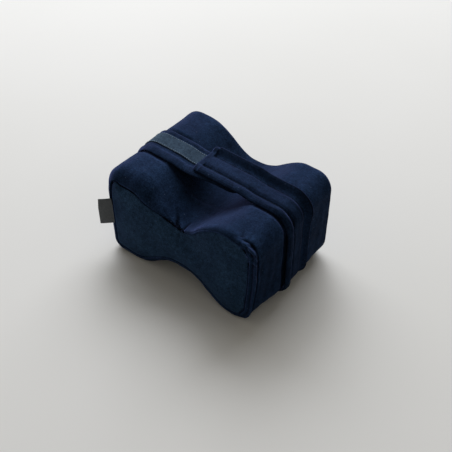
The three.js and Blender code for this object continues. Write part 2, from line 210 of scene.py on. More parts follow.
def drawn_in(x, z, side):
    """How far the waist of the front is drawn in towards the back."""
    if side > 0:
        return 0 * x
    drawn = WAIST_DRAWN_IN * (1 - smooth(np.abs(x), 0, WAIST_HALF_LENGTH))
    return drawn * smooth(z, WAIST_FROM, WAIST_FULL)


def lobe_rise(y):
    """How much higher the front of the right lobe stands, round the outline at depth y."""
    share = smooth(X, LOBE_FROM, LOBE_HIGHEST) * (1 - smooth(X, LOBE_HIGHEST, LOBE_TO))
    return np.where(Z < MID_HEIGHT, 0, LOBE_RISE * share * (1 - smooth(y, LOBE_FULL, LOBE_END)))


def edge_radius(side):
    past = np.where(Z < MID_HEIGHT, 1, smooth(np.abs(X), HOLLOW_EDGE_TO, EDGE_FROM))
    plain = mix(HOLLOW_EDGE_RADIUS, EDGE_RADIUS, past)
    if side > 0:
        return plain
    roll = mix(ROLL_AT_END, 1, smooth(X, ROLL_END, ROLL_INNER)) * smooth(Z, ROLL_LOW, ROLL_HIGH)
    roll = roll * (1 - smooth(X, ROLL_FADE, ROLL_TO))
    return mix(mix(plain, ROLL_RADIUS, roll), FOLD_RADIUS, fold_share())


def ridge_height(side):
    """Height of the sewn ridge: plain on the right of the front's top, and a groove on its left."""
    top = smooth(Z, MID_HEIGHT, RIDGE_TOP)
    if side > 0:
        return RIDGE_LOW + 0 * top
    shown = mix(-GROOVE, RIDGE_LOW + RIDGE_SHOWN, smooth(X, GROOVE_TO, RIDGE_FROM))
    plain = mix(RIDGE_LOW, shown, top)
    return mix(plain, -GROOVE / 2, fold_share())


def fold_share():
    """1 along the right front corner, where the turned edge stands up, fading into the top."""
    return smooth(X, FOLD_FROM, FOLD_FULL) * smooth(Z, FOLD_LOW, FOLD_HIGH)


def body_ring(y, inset, waist_share):
    """A ring of body points at depths y, inside the outline by inset."""
    y = np.broadcast_to(np.asarray(y, float), X.shape)
    under = under_strap(y)
    dent = under * np.maximum(0, strap_dent(Z) - hollow_depth(X, Z))
    bulge = (1 - under) * BULGE * np.maximum(0, 1 - (y / HALF_DEPTH) ** 2)
    tuck = TUCK_DEPTH * bump(X, TUCK_X, TUCK_HALF_WIDTH) * (1 - smooth(y, -HALF_DEPTH, TUCK_END))
    move = inset + dent + np.where(Z < MID_HEIGHT, 0, tuck) - lobe_rise(y) - bulge
    drawn = np.where(y < 0, drawn_in(X, Z, -1), 0) * waist_share
    flat = OUTLINE - OUTWARD * move[:, None]
    return np.stack([flat[:, 0] - lean_over(y), y + drawn, np.maximum(0, flat[:, 1])], 1)


def edge_ring(side, angle, further=0.0, ridge=0.0, sunk=0.0):
    """A ring on the rounded edge: at an angle of its arc, further in, raised as a ridge, or sunk."""
    radius = edge_radius(side)
    lift = ridge * ridge_height(side)
    if side < 0:
        fold = FOLD_HEIGHT * math.exp(-(((angle - FOLD_ANGLE) / FOLD_HALF_WIDTH) ** 2))
        past_groove = (angle - FOLD_GROOVE_ANGLE) / FOLD_GROOVE_HALF_WIDTH
        beside = FOLD_GROOVE * math.exp(-(past_groove**2))
        lift = lift + (fold - beside) * fold_share()
    rise = HALF_DEPTH - radius * (1 - math.sin(angle))
    y = rise + lift * math.sin(angle) - sunk
    inset = radius * (1 - math.cos(angle)) + further - lift * math.cos(angle)
    return body_ring(side * y, inset, (rise / HALF_DEPTH) ** 2)


def face_ring(rim, side, step):
    """A ring of the crowned face inside its rim, drawn towards a spine along the middle height."""
    x = mix(rim[:, 0], rim[:, 0] * SPINE_SHARE, step)
    z = mix(rim[:, 2], MID_HEIGHT, step)
    fuller = drawn_in(rim[:, 0], rim[:, 2], side) - drawn_in(x, z, side)
    return np.stack([x, rim[:, 1] + side * fuller, z], 1)


EDGE_ANGLES = np.linspace(0, SEAM_ANGLE, 25)
RIDGE_ROWS = [(0.12, 0.55), (0.28, 0.9), (0.5, 1.0), (0.72, 0.9), (0.88, 0.5), (1.0, -0.25)]
BOXING_FROM, BOXING_STEP, FILL_RINGS = 56, 2.0, 9
HIDDEN_FACE_STEPS = (0.1, 0.3, 0.55, 0.8)
PANEL_STEPS = (0.0, 0.012, 0.03, 0.05, *np.linspace(0.08, 0.965, 24))


def seat_ring(side):
    sunk = PANEL_THICKNESS + PANEL_GAP
    return edge_ring(side, SEAM_ANGLE, further=RIDGE_WIDTH + PANEL_RIM_GAP, sunk=sunk)


def side_rings(side):
    """Rings of one side of the cushion, from the widest place of its edge to the sunk face."""
    rings = [edge_ring(side, angle) for angle in EDGE_ANGLES]
    for share, height in RIDGE_ROWS:
        rings.append(edge_ring(side, SEAM_ANGLE, further=RIDGE_WIDTH * share, ridge=height))
    rings.append(edge_ring(side, SEAM_ANGLE, further=RIDGE_WIDTH, sunk=PANEL_THICKNESS + PANEL_GAP))
    seat = seat_ring(side)
    return [*rings, seat, *(face_ring(seat, side, step) for step in HIDDEN_FACE_STEPS)]


def between(a, b, count):
    """Rings spread evenly between two others."""
    return [mix(a, b, (k + 1) / (count + 1)) for k in range(count)]


def cushion_rings():
    front, back = side_rings(-1), side_rings(1)
    depths = np.arange(-BOXING_FROM, BOXING_FROM + 1, BOXING_STEP)
    boxing = [body_ring(y, 0, (y / HALF_DEPTH) ** 2) for y in depths]
    front_fill = between(front[0], boxing[0], FILL_RINGS)
    back_fill = between(boxing[-1], back[0], FILL_RINGS)
    return np.array([*front[::-1], *front_fill, *boxing, *back_fill, *back])


# Meshes.


def ladder(around, first):
    """Faces that close a ring with rungs between its upper and lower half, as index lists."""
    half = around // 2
    faces = [[1, 0, around - 1]]
    faces += [[k + 1, k, around - k, around - k - 1] for k in range(1, half - 1)]
    faces.append([half, half - 1, half + 1])
    return [[first + k for k in face] for face in faces]


def fan(around, first):
    """The face that closes a flat ring."""
    return [[first + k for k in range(around)]]


def to_row(points):
    """Points in millimetres from the body's middle, in the row's frame in metres."""
    return (np.asarray(points, float).reshape(-1, 3) + BODY_MIDDLE) * MM


def new_object(name, points, faces, material=None):
    mesh = bpy.data.meshes.new(name)
    mesh.from_pydata(to_row(points).tolist(), [], faces)
    mesh.polygons.foreach_set("use_smooth", [True] * len(mesh.polygons))
    mesh.update()
    made = bpy.data.objects.new(name, mesh)
    bpy.context.scene.collection.objects.link(made)
    if material:
        mesh.materials.append(material)
    return made


def skin_faces(rings, around, close):
    faces = []
    for start in range(0, (rings - 1) * around, around):
        for k in range(around):
            a, b = start + k, start + (k + 1) % around
            faces.append([a, b, b + around, a + around])
    faces += close(around, 0)
    faces += [face[::-1] for face in close(around, (rings - 1) * around)]
    return faces


def skin(name, rings, material, close=ladder):
    """A closed piece through rings of equal length."""
    rings = np.asarray(rings)
    return new_object(name, rings, skin_faces(rings.shape[0], rings.shape[1], close), material)


def grid_normals(rings):
    """Outward unit normals of rings that close round the second axis."""
    around = np.roll(rings, -1, 1) - np.roll(rings, 1, 1)
    along = np.gradient(rings, axis=0)
    normal = np.cross(around, along)
    return normal / np.maximum(np.linalg.norm(normal, axis=2), 1e-9)[..., None]


def roughen(points, size, seed):
    """Smooth noise about 0 at each point, for folds and swells of a size in millimetres."""
    away = Vector((17.0 * seed, -31.0 * seed, 7.0 * seed))
    flat = points.reshape(-1, 3) / size
    return np.array([noise.noise(Vector(p) + away) for p in flat]).reshape(points.shape[:-1])


# Unevenness of the cloth, as rows of height, size, seed and stretch.
BOXING_SWELLS = [(0.9, 34, 1, (1.0, 0.6, 1.0)), (0.35, 13, 2, (1.0, 1.0, 1.0))]
PANEL_SWELLS = [(0.55, 38, 3, (1.0, 1.0, 1.0)), (0.25, 13, 4, (1.0, 1.0, 1.0))]
STRAP_SWELLS = [(0.45, 14, 5, (0.5, 1.4, 0.5)), (0.3, 8, 6, (1.0, 1.0, 1.0))]


def swells(points, rows):
    """Heights of uneven swells at each point, added up from rows of noise."""
    return sum(height * roughen(points * stretch, size, seed) for height, size, seed, stretch in rows)


# Cloth simulation of the cushion's cover.

SWELL_START = 1.2
SWELL_CAP = 5.0
SWELL_LEAST, SWELL_MOST = -0.6, 2.5
SWELL_FRAMES, SWELL_NEIGHBOURS, SWELL_NEAREST = 20, 6, 0.0008
HELD_SEAM_TO, HELD_SEAM_FROM, HELD_FEET_FROM, HELD_FEET_TO = 16, 3, 0.5, 8
HELD_STRAP_FROM, HELD_STRAP_TO = 2, 5
SWELL_PRESSURE = 4.0
SWELL_VOXEL = 0.005


def held_share(rings):
    """How firmly the cover is held at each point: under the strap, at the seams and at the feet."""
    y = rings[..., 1]
    beside = np.abs(y - strap_middle(rings[..., 0]))
    strap = 1 - smooth(beside, STRAP_HALF_WIDTH - HELD_STRAP_FROM, STRAP_HALF_WIDTH + HELD_STRAP_TO)
    edge = HALF_DEPTH - WAIST_DRAWN_IN
    seam = smooth(np.abs(y), edge - HELD_SEAM_TO, edge - HELD_SEAM_FROM)
    feet = 1 - smooth(rings[..., 2], HELD_FEET_FROM, HELD_FEET_TO)
    held = np.maximum(np.maximum(strap, seam), feet)
    sewn = len(RIDGE_ROWS) + 2 + len(HIDDEN_FACE_STEPS)
    held[:sewn] = held[-sewn:] = 1
    return held


def swollen(rings):
    """Where a cloth simulation with air pressure inside moves the cover, as points and movements."""
    held = held_share(rings)
    start = rings - grid_normals(rings) * (SWELL_START * (1 - held))[..., None]
    cover = new_object("cover_sim", start, skin_faces(rings.shape[0], rings.shape[1], ladder))
    remesh = cover.modifiers.new("Remesh", "REMESH")
    remesh.mode = "VOXEL"
    remesh.voxel_size = SWELL_VOXEL
    depsgraph = bpy.context.evaluated_depsgraph_get()
    coarse = bpy.data.meshes.new_from_object(cover.evaluated_get(depsgraph))
    bpy.data.objects.remove(cover)
    cover = bpy.data.objects.new("cover_sim", coarse)
    bpy.context.scene.collection.objects.link(cover)

    tree = kdtree.KDTree(rings.shape[0] * rings.shape[1])
    for k, point in enumerate(to_row(start)):
        tree.insert(point, k)
    tree.balance()
    weights = held.ravel()
    pins = cover.vertex_groups.new(name="held")
    for vertex in coarse.vertices:
        pins.add([vertex.index], float(weights[tree.find(vertex.co)[1]]), "REPLACE")
    cloth = cover.modifiers.new("Cloth", "CLOTH")
    cloth.settings.vertex_group_mass = "held"
    cloth.settings.use_pressure = True
    cloth.settings.uniform_pressure_force = SWELL_PRESSURE
    cloth.settings.effector_weights.gravity = 0
    cloth.point_cache.frame_end = SWELL_FRAMES
    before = np.array([v.co for v in coarse.vertices])
    for step in range(1, SWELL_FRAMES + 1):
        bpy.context.scene.frame_set(step)
    depsgraph = bpy.context.evaluated_depsgraph_get()
    result = cover.evaluated_get(depsgraph).to_mesh()
    after = np.array([v.co for v in result.vertices])
    bpy.data.objects.remove(cover)
    bpy.context.scene.frame_set(1)
    return before, (after - before) / MM, start


def follow(points, before, moves):
    """The capped movement of each point with the simulated cover round it."""
    size = np.linalg.norm(moves, axis=1)[:, None]
    moves = moves * SWELL_CAP / np.maximum(size, SWELL_CAP)
    tree = kdtree.KDTree(len(before))
    for k, place in enumerate(before):
        tree.insert(place, k)
    tree.balance()
    out = np.zeros((len(points), 3))
    for k, point in enumerate(points):
        near = tree.find_n(point, SWELL_NEIGHBOURS)
        share = np.array([1 / (away + SWELL_NEAREST) ** 2 for _, _, away in near])
        out[k] = (moves[[i for _, i, _ in near]] * share[:, None]).sum(0) / share.sum()
    return out


# Materials.


def add_node(tree, kind, values=None, **settings):
    made = tree.nodes.new(kind)
    for name, value in settings.items():
        setattr(made, name, value)
    for name, value in (values or {}).items():
        made.inputs[name].default_value = value
    return made


def noise_node(tree, coordinates, scale, detail=2.0, roughness=0.5, stretch=None):
    values = {"Scale": scale, "Detail": detail, "Roughness": roughness}
    made = add_node(tree, "ShaderNodeTexNoise", values)
    source = coordinates
    if stretch:
        mapping = add_node(tree, "ShaderNodeMapping", {"Scale": stretch})
        tree.links.new(coordinates, mapping.inputs["Vector"])
        source = mapping.outputs["Vector"]
    tree.links.new(source, made.inputs["Vector"])
    return made


def grey(value):
    return (value, value, value)


def ramp(tree, factor, stops):
    made = add_node(tree, "ShaderNodeValToRGB")
    band = made.color_ramp
    while len(band.elements) < len(stops):
        band.elements.new(0.5)
    for element, (place, color) in zip(band.elements, stops):
        element.position = place
        element.color = (*color, 1)
    tree.links.new(factor, made.inputs["Fac"])
    return made


def multiply(tree, first, second):
    """The product of two colours."""
    made = add_node(tree, "ShaderNodeMix", data_type="RGBA", blend_type="MULTIPLY")
    made.inputs[0].default_value = 1.0
    tree.links.new(first, made.inputs[6])
    tree.links.new(second, made.inputs[7])
    return made.outputs[2]


def blank_material(name):
    made = bpy.data.materials.new(name)
    made.use_nodes = True
    tree = made.node_tree
    where = add_node(tree, "ShaderNodeTexCoord").outputs["Object"]
    return made, tree, tree.nodes["Principled BSDF"], where


def leaning_normal(tree, lean):
    """The surface's normal, tilted the way a brushed pile lies."""
    surface = add_node(tree, "ShaderNodeNewGeometry")
    tilted = add_node(tree, "ShaderNodeVectorMath", operation="ADD")
    tree.links.new(surface.outputs["Normal"], tilted.inputs[0])
    tilted.inputs[1].default_value = lean
    unit = add_node(tree, "ShaderNodeVectorMath", operation="NORMALIZE")
    tree.links.new(tilted.outputs[0], unit.inputs[0])
    return unit


def bump_chain(tree, shader, heights, last=None):
    """Bump nodes one after another, each from a height, a strength and a distance in metres."""
    for height, strength, distance in heights:
        made = add_node(tree, "ShaderNodeBump", {"Strength": strength, "Distance": distance})
        tree.links.new(height, made.inputs["Height"])
        if last:
            tree.links.new(last.outputs[0], made.inputs["Normal"])
        last = made
    tree.links.new(last.outputs[0], shader.inputs["Normal"])


PILE_LEAN = (-0.28, 0.12, 0.0)
# The velour's colour and sheen are painted darker on the sides turned away from the lamps at the back
# left, such as the right end: painted shade.
LAMP_SIDE = (-0.8, 0.6, 0.0)
LAMP_SIDE_AWAY, LAMP_SIDE_TOWARDS = -0.9, 0.2
LAMP_SIDE_PAINTED_SHADE, LAMP_SIDE_SHEEN = (0.95, 1.1), (0.02, 1.1)
LINT_TONE = (0.05, 0.07, 0.12, 1)


def lamp_side_share(tree, low, high):
    """A value that grows from low to high as the surface's normal turns towards the lamps at the back
    left; it paints shade into the sides turned away, such as the right end.
    """
    surface = add_node(tree, "ShaderNodeNewGeometry")
    along = add_node(tree, "ShaderNodeVectorMath", operation="DOT_PRODUCT")
    tree.links.new(surface.outputs["Normal"], along.inputs[0])
    along.inputs[1].default_value = LAMP_SIDE
    limits = {"From Min": LAMP_SIDE_AWAY, "From Max": LAMP_SIDE_TOWARDS, "To Min": low, "To Max": high}
    made = add_node(tree, "ShaderNodeMapRange", limits, interpolation_type="SMOOTHSTEP")
    tree.links.new(along.outputs["Value"], made.inputs["Value"])
    return made.outputs["Result"]


def groove_shade_ridge_highlight(tree):
    """A grey read from the mesh's pointiness: painted shade in grooves and a painted highlight on ridges.
    """
    surface = add_node(tree, "ShaderNodeNewGeometry")
    shades = [(0.465, grey(0.3)), (0.498, grey(1.0)), (0.53, grey(1.5))]
    return ramp(tree, surface.outputs["Pointiness"], shades).outputs["Color"]


def velour(name, deep, light, tint, sheen):
    """Short-pile velour: uneven brushed colour, fine pile, sheen along the edges and rare lint, with
    painted shade on the sides turned from the lamps and in grooves, and a painted highlight on ridges.
    """
    made, tree, shader, where = blank_material(name)
    brushed = noise_node(tree, where, 22, detail=3, roughness=0.55, stretch=(1.0, 0.55, 1.0))
    pile = noise_node(tree, where, 520, detail=3, roughness=0.7)
    clumps = noise_node(tree, where, 150, detail=2, roughness=0.6)
    base = ramp(tree, brushed.outputs["Fac"], [(0.3, deep), (0.72, light)])
    grain = ramp(tree, pile.outputs["Fac"], [(0.3, grey(0.45)), (0.7, grey(1.5))])
    patches = ramp(tree, clumps.outputs["Fac"], [(0.3, grey(0.78)), (0.7, grey(1.22))])
    color = multiply(tree, base.outputs["Color"], grain.outputs["Color"])
    color = multiply(tree, color, patches.outputs["Color"])
    # Painted shade: the colour is darker on the sides turned away from the lamps.
    color = multiply(tree, color, lamp_side_share(tree, *LAMP_SIDE_PAINTED_SHADE))
    # Painted shade in grooves and a painted highlight on ridges.
    color = multiply(tree, color, groove_shade_ridge_highlight(tree))
    lint_cells = add_node(tree, "ShaderNodeTexVoronoi", {"Scale": 95.0})
    tree.links.new(where, lint_cells.inputs["Vector"])
    lint = ramp(tree, lint_cells.outputs["Distance"], [(0.045, grey(1)), (0.075, grey(0))])
    lint_tone = add_node(tree, "ShaderNodeMix", data_type="RGBA", blend_type="MIX")
    tree.links.new(lint.outputs["Color"], lint_tone.inputs[0])
    tree.links.new(color, lint_tone.inputs[6])
    lint_tone.inputs[7].default_value = LINT_TONE
    tree.links.new(lint_tone.outputs[2], shader.inputs["Base Color"])
    shader.inputs["Roughness"].default_value = 0.95
    shader.inputs["Specular IOR Level"].default_value = 0.02
    # Painted shade: the sheen is weaker on the sides turned away from the lamps.
    sheen_share = lamp_side_share(tree, *(share * sheen for share in LAMP_SIDE_SHEEN))
    tree.links.new(sheen_share, shader.inputs["Sheen Weight"])
    shader.inputs["Sheen Roughness"].default_value = 0.4
    shader.inputs["Sheen Tint"].default_value = (*tint, 1)
    heights = [(clumps.outputs["Fac"], 0.5, 0.0012), (pile.outputs["Fac"], 0.6, 0.0006)]
    bump_chain(tree, shader, heights, leaning_normal(tree, PILE_LEAN))
    return made


def loop_tape(name):
    """The soft side of a fastening tape: a mat of fine crossing loops in grey blue."""
    made, tree, shader, where = blank_material(name)
    loops = noise_node(tree, where, 900, detail=4, roughness=0.75)
    tufts = noise_node(tree, where, 260, detail=3, roughness=0.65)
    tones = [(0.32, (0.016, 0.032, 0.058)), (0.7, (0.042, 0.076, 0.124))]
    base = ramp(tree, tufts.outputs["Fac"], tones)
    grain = ramp(tree, loops.outputs["Fac"], [(0.3, grey(0.6)), (0.7, grey(1.4))])
    color = multiply(tree, base.outputs["Color"], grain.outputs["Color"])
    tree.links.new(color, shader.inputs["Base Color"])
    shader.inputs["Roughness"].default_value = 0.85
    shader.inputs["Specular IOR Level"].default_value = 0.1
    shader.inputs["Sheen Weight"].default_value = 0.25
    shader.inputs["Sheen Roughness"].default_value = 0.4
    shader.inputs["Sheen Tint"].default_value = (0.55, 0.75, 1.0, 1)
    heights = [(tufts.outputs["Fac"], 0.6, 0.0008), (loops.outputs["Fac"], 0.7, 0.0004)]
    bump_chain(tree, shader, heights)
    return made


def ribbon(name):
    """Plain woven ribbon: fine ribs both ways in dark grey."""
    made, tree, shader, where = blank_material(name)
    values = {"Scale": 480.0, "Distortion": 0.6}
    weft = add_node(tree, "ShaderNodeTexWave", values, bands_direction="Z")
    tree.links.new(where, weft.inputs["Vector"])
    uneven = noise_node(tree, where, 300, detail=3)
    tones = [(0.0, (0.040, 0.046, 0.052)), (1.0, (0.086, 0.096, 0.104))]
    base = ramp(tree, weft.outputs["Fac"], tones)
    grain = ramp(tree, uneven.outputs["Fac"], [(0.3, grey(0.8)), (0.7, grey(1.2))])
    color = multiply(tree, base.outputs["Color"], grain.outputs["Color"])
    tree.links.new(color, shader.inputs["Base Color"])
    shader.inputs["Roughness"].default_value = 0.6
    heights = [(weft.outputs["Fac"], 0.4, 0.0003), (uneven.outputs["Fac"], 0.3, 0.0004)]
    bump_chain(tree, shader, heights)
    return made


def thread(name, color):
    """Sewing thread: one colour with a fine twist."""
    made, tree, shader, where = blank_material(name)
    twist = noise_node(tree, where, 1500, detail=2)
    tones = [(0.3, tuple(c * 0.7 for c in color)), (0.7, tuple(c * 1.3 for c in color))]
    tree.links.new(ramp(tree, twist.outputs["Fac"], tones).outputs["Color"], shader.inputs["Base Color"])
    shader.inputs["Roughness"].default_value = 0.7
    shader.inputs["Specular IOR Level"].default_value = 0.1
    bump_chain(tree, shader, [(twist.outputs["Fac"], 0.5, 0.0002)])
    return made


def paper(name):
    """The floor's plain pale paper."""
    made, tree, shader, where = blank_material(name)
    uneven = noise_node(tree, where, 1.7, detail=3, roughness=0.45)
    tones = [(0.3, (0.80, 0.80, 0.785)), (0.7, (0.83, 0.83, 0.82))]
    tree.links.new(ramp(tree, uneven.outputs["Fac"], tones).outputs["Color"], shader.inputs["Base Color"])
    shader.inputs["Roughness"].default_value = 0.8
    shader.inputs["Specular IOR Level"].default_value = 0.2
    return made


NAVY_SHEEN = (0.29, 0.38, 1.0)
BODY_TONES = (0.0050, 0.0120, 0.0300), (0.0106, 0.0240, 0.0570)
PANEL_TONES = (0.0122, 0.0280, 0.0580), (0.0200, 0.0455, 0.0890)
STRAP_TONES = (0.0050, 0.0118, 0.0295), (0.0108, 0.0235, 0.0560)
VELOUR = velour("velour", *BODY_TONES, NAVY_SHEEN, sheen=0.31)
PANEL_VELOUR = velour("panel_velour", *PANEL_TONES, NAVY_SHEEN, sheen=0.19)
STRAP_VELOUR = velour("strap_velour", *STRAP_TONES, NAVY_SHEEN, sheen=0.33)
TAPE_LOOPS = loop_tape("tape_loops")
RIBBON = ribbon("tab_ribbon")
TAPE_THREAD = thread("tape_thread", (0.22, 0.29, 0.38))
NAVY_THREAD = thread("navy_thread", (0.003, 0.005, 0.014))


# The cushion and its panels.

# Creases pressed into the boxing, as lines of x and y on the top, with depth and half width.
TOP_CREASES = [
    {"line": [(-3, -93), (-8, -84), (-14, -75), (-24, -60)], "depth": 5.0, "half_width": 3.4},
    {"line": [(-1, -92), (1, -82), (2, -70)], "depth": 3.0, "half_width": 2.6},
    {"line": [(-6, -90), (-18, -86), (-32, -82)], "depth": 1.4, "half_width": 3.0},
]
# Soft folds down the right end, by depth y, with depth and half width.
END_CREASES = [(-76, 1.2, 5.0), (-59, 0.9, 6.0), (-44, 0.8, 5.0), (58, 0.8, 7.0)]
END_X, END_Z = (112, 122), (105, 130)
TOP_CREASE_Y, TOP_CREASE_Z = (-86, -60), (MID_HEIGHT, MID_HEIGHT + 15)
SWAY, SWAY_LENGTH = 2.0, 21
# Gathers at the front's upper right corner.
GATHER, GATHER_SIZE, GATHER_SEED = 1.7, 6.5, 8
CORNER_X, CORNER_Z, CORNER_Y = (84, 96), (110, 128), (-82, -66)
FEET_Z = (1, 12)
FAR_AWAY = 1e9


def line_distance(px, py, line):
    """Distance of points from a line of straight runs."""
    best = np.full(np.shape(px), FAR_AWAY)
    for (ax, ay), (bx, by) in zip(line, line[1:]):
        run = (bx - ax) ** 2 + (by - ay) ** 2
        share = np.clip(((px - ax) * (bx - ax) + (py - ay) * (by - ay)) / run, 0, 1)
        best = np.minimum(best, np.hypot(px - ax - share * (bx - ax), py - ay - share * (by - ay)))
    return best


def boxing_relief(points):
    """Heights of folds, gathers and swells of the boxing, at each point."""
    x, y, z = points[..., 0], points[..., 1], points[..., 2]
    on_top = smooth(z, *TOP_CREASE_Z)
    relief = swells(points, BOXING_SWELLS)
    at_front = 1 - smooth(y, *TOP_CREASE_Y)
    for crease in TOP_CREASES:
        away = line_distance(x, y, crease["line"])
        pressed = crease["depth"] * at_front * np.exp(-((away / crease["half_width"]) ** 2))
        relief = relief - on_top * pressed
    at_end = smooth(x, *END_X) * (1 - smooth(z, *END_Z))
    sway = SWAY * np.sin(z / SWAY_LENGTH)
    for place, depth, half_width in END_CREASES:
        relief = relief - at_end * depth * np.exp(-(((y + sway - place) / half_width) ** 2))
    corner = smooth(x, *CORNER_X) * smooth(z, *CORNER_Z) * (1 - smooth(y, *CORNER_Y))
    relief = relief + GATHER * corner * roughen(points, GATHER_SIZE, GATHER_SEED)
    return relief * smooth(z, *FEET_Z)


rings = cushion_rings()
normals = grid_normals(rings)
swell = 0.0
before, moves, start = swollen(rings)
moved = (follow(to_row(start), before, moves).reshape(start.shape) * normals).sum(-1)
swell = np.clip(moved - SWELL_START, SWELL_LEAST, SWELL_MOST) * (1 - held_share(rings))
rings = rings + normals * (swell + boxing_relief(rings))[..., None]
rings[..., 2] = np.maximum(rings[..., 2], 0)
cushion = skin("cushion", rings, VELOUR)
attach(cushion, "root")
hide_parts("cushion_body")


# The crease that the tuck presses into the front panel, down from its top edge.
PINCH_DEPTH, PINCH_X, PINCH_HALF_WIDTH, PINCH_LOW, PINCH_HIGH = 1.3, -5, 3, 82, 104
PANEL_RELIEF_WIDTH = 8


def panel(name, side):
    """A cloth panel in the sunk face: crowned, drawn in at the waist and turned down at its seam."""
    seat = seat_ring(side)
    face = np.array([face_ring(seat, side, step) for step in PANEL_STEPS])
    flat = face[..., [0, 2]]
    rim = seat[:, [0, 2]]
    away = np.sqrt(((flat[:, :, None, :] - rim) ** 2).sum(-1)).min(-1)
    crowned = PANEL_CROWN * smooth(away, 0, PANEL_CROWN_WIDTH)
    crowned = crowned + PANEL_SWELL * smooth(away, 0, PANEL_SWELL_WIDTH)
    turned = -PANEL_TURN * np.exp(-((away / PANEL_TURN_WIDTH) ** 2))
    relief = swells(face, PANEL_SWELLS)
    if side < 0:
        pinch = np.exp(-(((flat[..., 0] - PINCH_X) / PINCH_HALF_WIDTH) ** 2))
        relief = relief - PINCH_DEPTH * smooth(flat[..., 1], PINCH_LOW, PINCH_HIGH) * pinch
    base = HALF_DEPTH - PANEL_SINK - drawn_in(flat[..., 0], flat[..., 1], side)
    outer_y = side * face[..., 1] + PANEL_GAP + PANEL_THICKNESS
    outer_y = mix(outer_y, base, smooth(away, 0, PANEL_STEP_WIDTH))
    outer_y = outer_y + crowned + turned + relief * smooth(away, 0, PANEL_RELIEF_WIDTH)
    inner_y = side * face[..., 1] + PANEL_GAP
    outer = np.stack([flat[..., 0], side * outer_y, flat[..., 1]], -1)
    inner = np.stack([flat[..., 0], side * inner_y, flat[..., 1]], -1)
    rings = np.concatenate([outer[::-1], inner])
    if side > 0:
        rings = rings[::-1]
    made = skin(name, rings, PANEL_VELOUR)
    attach(made, "root")
    return made


for side, node in ((-1, "front_panel"), (1, "back_panel")):
    cloth = panel(node + "_cloth", side)
    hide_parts(node)


# The strap, its tape and their stitches.

# The outer face, from the strap's near to its far edge: height plain, and height stitched.
STRAP_FACE = [
    (-27.5, -0.6, -0.6),
    (-27.0, 0.5, 0.8),
    (-25.2, 1.8, 2.6),
    (-22.5, 2.9, 3.8),
    (-19.5, 3.5, 4.2),
    (-17.0, 3.3, 3.6),
    (-15.0, 2.3, 1.8),
    (-13.4, 1.9, 0.2),
    (-12.2, 2.0, -0.9),
    (-11.2, 2.0, -0.9),
    (-10.0, 2.0, 0.4),
    (-7.5, 2.0, 1.7),
    (0.0, 2.0, 2.0),
    (7.5, 2.0, 1.9),
    (10.0, 2.0, 1.3),
    (11.6, 2.0, -0.4),
    (13.0, 2.0, -1.0),
    (15.0, 2.0, -0.9),
    (17.5, 2.2, -0.3),
    (20.0, 3.3, 1.4),
    (22.5, 3.5, 3.3),
    (24.8, 2.4, 4.2),
    (26.6, 0.9, 3.6),
    (27.5, -0.6, 0.8),
]
# The inner face, from the far to the near edge.
STRAP_BACK = [
    (27.2, -0.8),
    (25.6, -1.7),
    (20.0, -1.9),
    (8.0, -1.9),
    (-8.0, -1.9),
    (-20.0, -1.9),
    (-25.6, -1.7),
    (-27.2, -0.8),
]
STRAP_TIP = [0, 0.5, 1.2, 2.2, 3.5, 5, 6.5, 8, 9, 9.7, STITCHED_FROM]
STRAP_FROM, STRAP_STEP, FINE_STEPS = 12, 2.2, 4
PLAIN_TO, STITCHES_FADE = 9, 14
TIP_ROUND, TIP_NARROWER, LAST_ROUND, LAST_NARROWER = 6, 5, 18, 9
TIP_THIN, TIP_THIN_FROM, TIP_THIN_TO = 0.25, -0.5, 3
# Under the feet the strap's outer face is kept low, so that it clears the floor.
FOOT_FACE, FOOT_FACE_FROM, FOOT_FACE_TO = 1.9, 2, 20
CREST_PLACE = np.argmin(np.hypot(*(HULL_TRACK.points - (-LEFT_CREST_END, HEIGHT)).T))
FLAP_START = HULL_TRACK.distance[CREST_PLACE] + (LEFT_CREST_END + FLAP_END)
STRAP_LENGTH = HULL_TRACK.length + UNDER_END - FLAP_END


def strap_frame(along):
    """Place, outward normal, lift, middle, far curl and near lift of the strap, by distance along it."""
    along = np.asarray(along, float)
    place, outward = HULL_TRACK.at(FLAP_START + along)
    x, z = place[:, 0], place[:, 1]
    top, flap = z > MID_HEIGHT, along < HULL_TRACK.length / 2
    lift = STRAP_GAP + STRAP_INSIDE - strap_dent(z)
    lift = lift + np.where(top & flap, STRAP_RISE * (1 - smooth(x, RISE_FULL, RISE_END)), 0)
    lift = lift - np.where(top & ~flap, STRAP_SINK * smooth(x, -RISE_END, -RISE_FULL), 0)
    tucked = np.where(flap, 1, smooth(x, TUCKED_FROM, TUCKED_TO))
    middle = np.where(top, mix(STRAP_LEFT_MIDDLE, STRAP_RIGHT_MIDDLE, tucked), strap_middle(x))
    curl = np.where(flap, STRAP_CURL * smooth(z, CURL_START, CURL_FULL), 0)
    loose = STRAP_LOOSE * (1 - smooth(z, LOOSE_FADE, LOOSE_TO)) * smooth(z, LOOSE_FROM, LOOSE_FULL)
    loose = np.where(x > 0, loose, 0)
    return place, outward, lift, middle, curl, loose


def strap_points(along, out, height):
    """Points on the strap: rows of distances along, each with distances out and heights."""
    place, outward, lift, middle, curl, loose = strap_frame(along)
    raised = lift[:, None] + height + curl[:, None] * smooth(out, CURL_FROM, STRAP_HALF_WIDTH)
    raised = raised + loose[:, None] * (1 - smooth(out, -STRAP_HALF_WIDTH, 0))
    flat = place[:, None, :] + outward[:, None, :] * raised[..., None]
    return np.stack([flat[..., 0], middle[:, None] + out, flat[..., 1]], -1)


def face_height(out, stitched):
    """Height of the strap's outer face at distances out, plain or stitched."""
    rows = np.array(STRAP_FACE)
    plain = np.interp(out, rows[:, 0], rows[:, 1])
    sewn = np.interp(out, rows[:, 0], rows[:, 2])
    return mix(plain, sewn, stitched)


def rounded(share):
    """The width of a rounded end, from 0 at its tip to 1."""
    return np.sqrt(np.clip(1 - (1 - np.clip(share, 0, 1)) ** 2, 0, 1))


